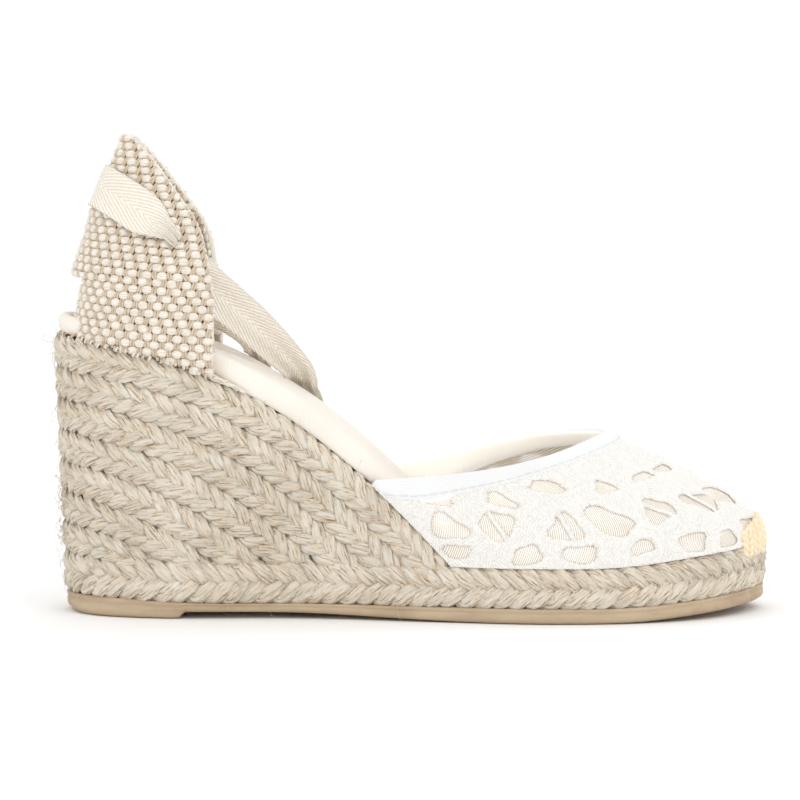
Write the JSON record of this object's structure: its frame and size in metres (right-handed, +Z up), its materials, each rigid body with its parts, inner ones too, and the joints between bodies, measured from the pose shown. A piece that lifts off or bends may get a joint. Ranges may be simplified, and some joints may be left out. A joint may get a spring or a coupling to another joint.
{
  "type": "wedge espadrille sandal",
  "caption": "High wedge espadrille with a braided jute wedge, closed lace toe, woven heel counter and a cotton tape that ties round the ankle.",
  "frame": {"origin": "under the middle of the shoe's box, on the ground that the sole stands on", "axes": "+X towards the toe, +Z up, -Y the outer side of the right foot"},
  "size_m": [0.2368, 0.0882, 0.1571],
  "materials": {
    "outsole_rubber": "matt tan rubber, fine grain",
    "core_foam": "light closed-cell foam, hidden",
    "jute_braid": "plaited jute yarn, dry and hairy",
    "fibre_board": "pressed fibre board, hidden",
    "insole_foam": "soft foam, hidden",
    "sock_canvas": "cream cotton canvas",
    "counter_weave": "coarse basket weave of cream and tan yarn",
    "lining_cotton": "plain cotton lining",
    "lace": "warm white corded lace",
    "net": "fine greyish net",
    "binding_tape": "pure white stitched binding",
    "toe_yarn": "light orange cotton yarn stitches",
    "tie_tape": "cream cotton herringbone tape"
  },
  "bodies": {
    "root": {"rubber_outsole": "outsole_rubber", "platform_core": "core_foam", "wedge_core": "core_foam", "welt_braid": "jute_braid", "wedge_braid_1": "jute_braid", "wedge_braid_2": "jute_braid", "wedge_braid_3": "jute_braid", "wedge_braid_4": "jute_braid", "wedge_braid_5": "jute_braid", "wedge_braid_6": "jute_braid", "wedge_braid_7": "jute_braid", "insole_board": "fibre_board", "foam_insole": "insole_foam", "footbed_cover": "sock_canvas", "heel_seat_rim": "sock_canvas", "heel_counter": "counter_weave", "counter_lining": "lining_cotton", "vamp_lace": "lace", "vamp_mesh_lining": "net", "topline_binding": "binding_tape", "toe_stitching": "toe_yarn", "ankle_tape_wrap": "tie_tape", "ankle_tape_tail_outer": "tie_tape", "ankle_tape_tail_inner": "tie_tape", "ankle_tape_hank": "tie_tape"}
  },
  "joints": []
}
